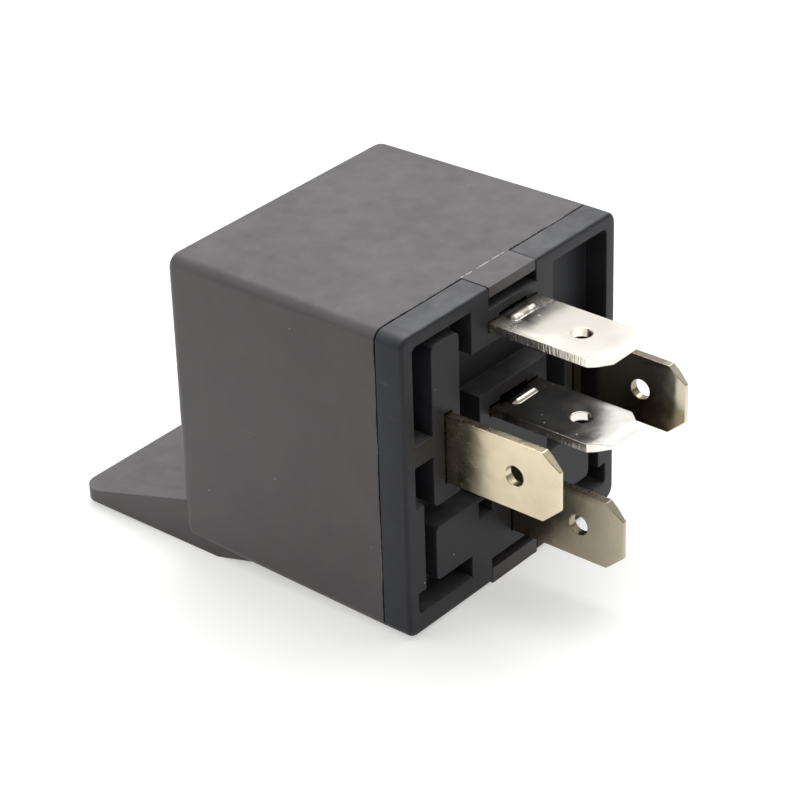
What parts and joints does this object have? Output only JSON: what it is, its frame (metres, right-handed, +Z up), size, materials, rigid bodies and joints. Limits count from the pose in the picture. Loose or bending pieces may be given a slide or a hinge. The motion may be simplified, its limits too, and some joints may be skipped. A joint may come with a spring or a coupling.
{
  "type": "automotive relay",
  "caption": "Plug-in changeover relay for a car: a closed dark plastic cube with flat blade terminals on its base and a screw tab at the far end, with the magnet and contacts inside.",
  "frame": {"origin": "centre of the seating face, the flat rim and column faces of the base that meet the socket", "axes": "+X out of the base along the blades, +Y across the width, +Z up with the relay lying on its side, the mounting tab at the bottom"},
  "size_m": [0.0498, 0.0282, 0.0288],
  "materials": {
    "cover_plastic": "fine matt moulded surface",
    "base_plastic": "fine matt moulded surface",
    "tinned_blade": "tin-plated, slightly tarnished",
    "zinc_steel": "zinc-plated",
    "bobbin_plastic": "natural glass-filled nylon",
    "enamelled_copper": "enamelled wire",
    "resistor_body": "lacquered",
    "spring_bronze": "rolled",
    "contact_silver": "silver alloy",
    "bare_copper": "braided"
  },
  "bodies": {
    "housing": {"cover": "cover_plastic", "mounting_tab": "cover_plastic", "base": "base_plastic", "terminal_87": "tinned_blade", "terminal_87a": "tinned_blade", "terminal_86": "tinned_blade", "terminal_85": "tinned_blade", "terminal_30": "tinned_blade", "yoke": "zinc_steel", "core": "zinc_steel", "bobbin": "bobbin_plastic", "coil_winding": "enamelled_copper", "coil_wires": "enamelled_copper", "suppression_resistor": "resistor_body", "normally_open_contact": "contact_silver", "normally_closed_contact": "contact_silver", "return_leaf": "spring_bronze", "return_leaf_rivet": "zinc_steel", "contact_braid": "bare_copper"},
    "armature": {"armature": "zinc_steel", "contact_leaf": "spring_bronze", "leaf_rivets": "zinc_steel", "moving_contact": "contact_silver"}
  },
  "joints": [
    {"name": "armature_swing", "type": "hinge", "parent": "housing", "child": "armature", "pos_m": [-0.01893, 0, -0.0114], "axis": [0, 1, 0], "range_deg": [0, 2.02], "stiffness_Nm_per_rad": 0.01, "springref_deg": -8.59}
  ]
}
